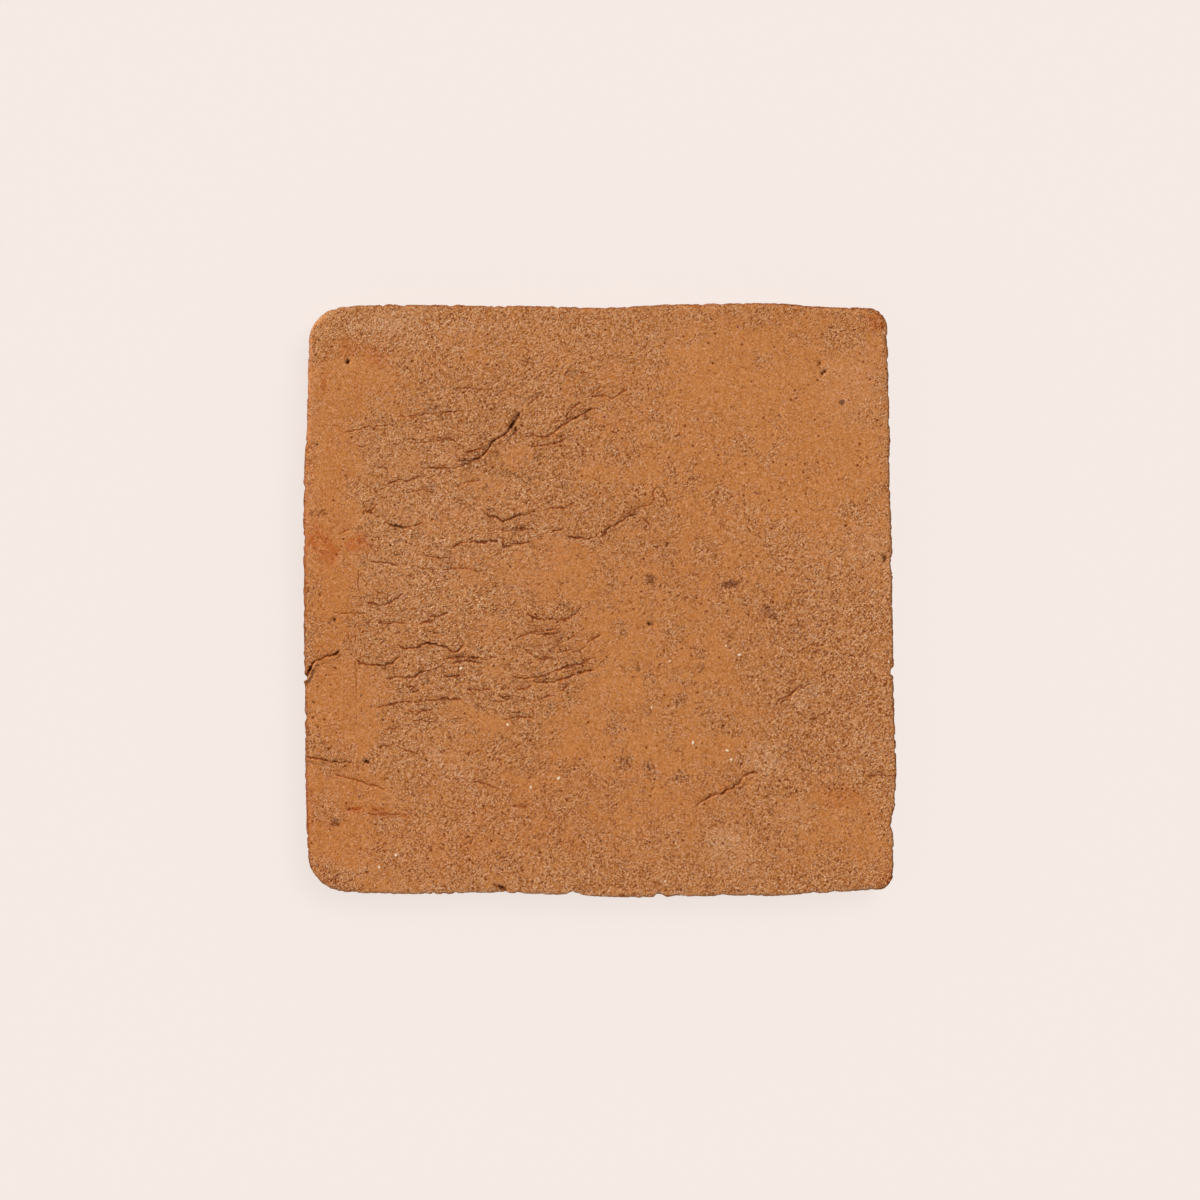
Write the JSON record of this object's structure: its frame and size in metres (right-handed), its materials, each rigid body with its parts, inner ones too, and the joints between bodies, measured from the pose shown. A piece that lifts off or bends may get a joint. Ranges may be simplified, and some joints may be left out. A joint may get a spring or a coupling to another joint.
{
  "type": "terracotta floor tile",
  "caption": "Square handmade terracotta floor tile: one solid slab with wavering sides, softly rounded corners and edges, and a flat underside to bed.",
  "frame": {"origin": "centre of the tile's box, on the flat underside", "axes": "+Z out of the sanded upper face, +X from the left side to the right, +Y from the front side to the back, with the two softest corners at -X"},
  "size_m": [0.1998, 0.2002, 0.02],
  "materials": {
    "terracotta": "unglazed, matt, sand-faced fired clay"
  },
  "bodies": {
    "root": {"tile": "terracotta"}
  },
  "joints": []
}
